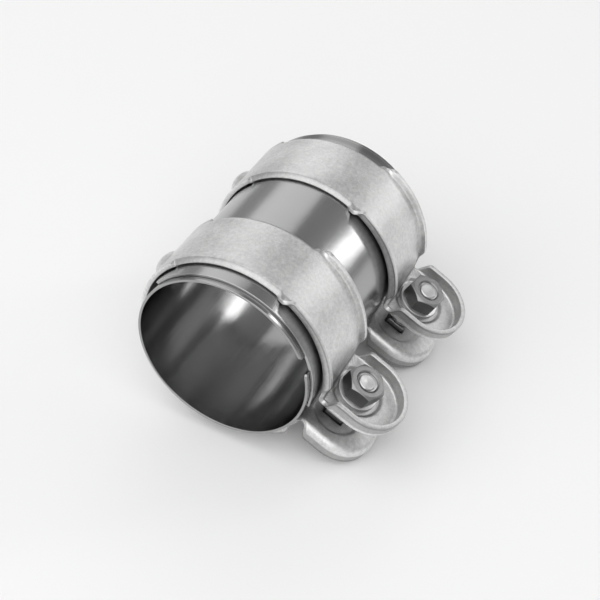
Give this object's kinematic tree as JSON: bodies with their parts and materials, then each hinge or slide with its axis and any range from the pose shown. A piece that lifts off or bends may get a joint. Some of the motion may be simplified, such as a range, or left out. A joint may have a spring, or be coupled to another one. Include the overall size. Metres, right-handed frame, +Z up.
{
  "type": "exhaust pipe connector",
  "caption": "Slotted steel sleeve drawn tight round two exhaust pipe ends by a pair of folded clamp bands with cup-shaped lugs, bolts and nuts.",
  "frame": {"origin": "middle of the sleeve's bore, halfway along its length", "axes": "+Y along the pipe axis towards the rear mouth, +Z up from the flat floor on which the connector lies, +X towards the lugs"},
  "size_m": [0.1, 0.0984, 0.0765],
  "materials": {
    "sleeve": "polished stainless sheet",
    "cover_sheet": "bright stainless sheet",
    "front_band": "satin, pale grey, lightly mottled",
    "rear_band": "satin, pale grey, lightly mottled",
    "front_bolt": "zinc plated",
    "rear_bolt": "zinc plated",
    "front_washer": "zinc plated",
    "rear_washer": "zinc plated",
    "front_nut": "zinc plated",
    "rear_nut": "zinc plated"
  },
  "bodies": {
    "connector": {"sleeve": "sleeve", "cover_sheet": "cover_sheet", "front_band": "front_band", "rear_band": "rear_band", "front_bolt": "front_bolt", "rear_bolt": "rear_bolt"},
    "front_washer": {"front_washer": "front_washer"},
    "front_nut": {"front_nut": "front_nut"},
    "rear_washer": {"rear_washer": "rear_washer"},
    "rear_nut": {"rear_nut": "rear_nut"}
  },
  "joints": [
    {"name": "front_nut_travel", "type": "slide", "parent": "connector", "child": "front_washer", "axis": [0.4274, 0, 0.904], "range_m": [0, 0.00625]},
    {"name": "front_nut_spin", "type": "hinge", "parent": "front_washer", "child": "front_nut", "pos_m": [0.04456, -0.0277, -0.01078], "axis": [0.4274, 0, 0.904], "range_deg": [0, 1800]},
    {"name": "rear_nut_travel", "type": "slide", "parent": "connector", "child": "rear_washer", "axis": [0.4274, 0, 0.904], "range_m": [0, 0.00625]},
    {"name": "rear_nut_spin", "type": "hinge", "parent": "rear_washer", "child": "rear_nut", "pos_m": [0.04456, 0.0277, -0.01078], "axis": [0.4274, 0, 0.904], "range_deg": [0, 1800]}
  ],
  "couplings": [
    {"joint": "front_nut_spin", "follows": "front_nut_travel", "rad_per_m": 5026.5},
    {"joint": "rear_nut_spin", "follows": "rear_nut_travel", "rad_per_m": 5026.5}
  ]
}
